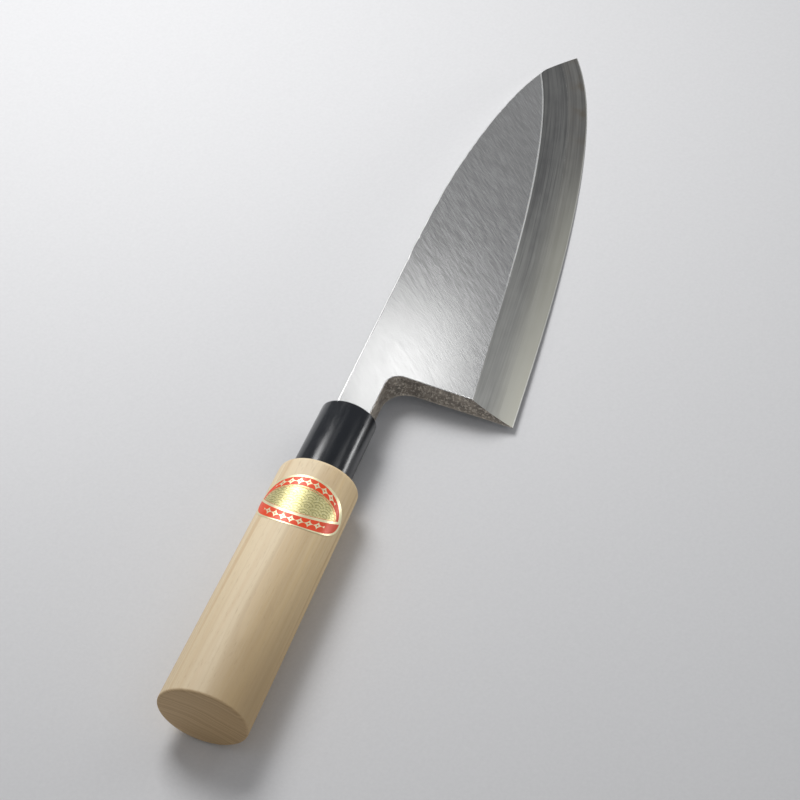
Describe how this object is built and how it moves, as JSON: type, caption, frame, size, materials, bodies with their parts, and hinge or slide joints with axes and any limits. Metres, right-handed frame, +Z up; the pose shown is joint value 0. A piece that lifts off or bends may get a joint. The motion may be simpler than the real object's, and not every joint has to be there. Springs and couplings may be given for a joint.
{
  "type": "deba knife",
  "caption": "Single-bevel Japanese fish knife with a thick wedge blade, shinogi ridge, hollow-ground back, black ferrule and oval wooden handle.",
  "frame": {"origin": "on the table, under the middle of the whole knife's bounding box", "axes": "+Z up from the table, +X along the knife from the butt towards the tip, +Y from the cutting edge towards the spine, with the bevelled face up"},
  "size_m": [0.3312, 0.064, 0.0249],
  "materials": {
    "cladding_steel": "satin flat face, forged scale on the heel and the notch",
    "edge_steel": "finely ground along the edge",
    "pale_wood": "sanded bare, straight fine grain",
    "black_ferrule": "polished black",
    "dark_resin": "matt",
    "printed_foil": "gold foil with a red border"
  },
  "bodies": {
    "root": {"cladding": "cladding_steel", "cutting_steel": "edge_steel", "handle": "pale_wood", "ferrule": "black_ferrule", "mouth_seal": "dark_resin", "foil_label": "printed_foil"}
  },
  "joints": []
}
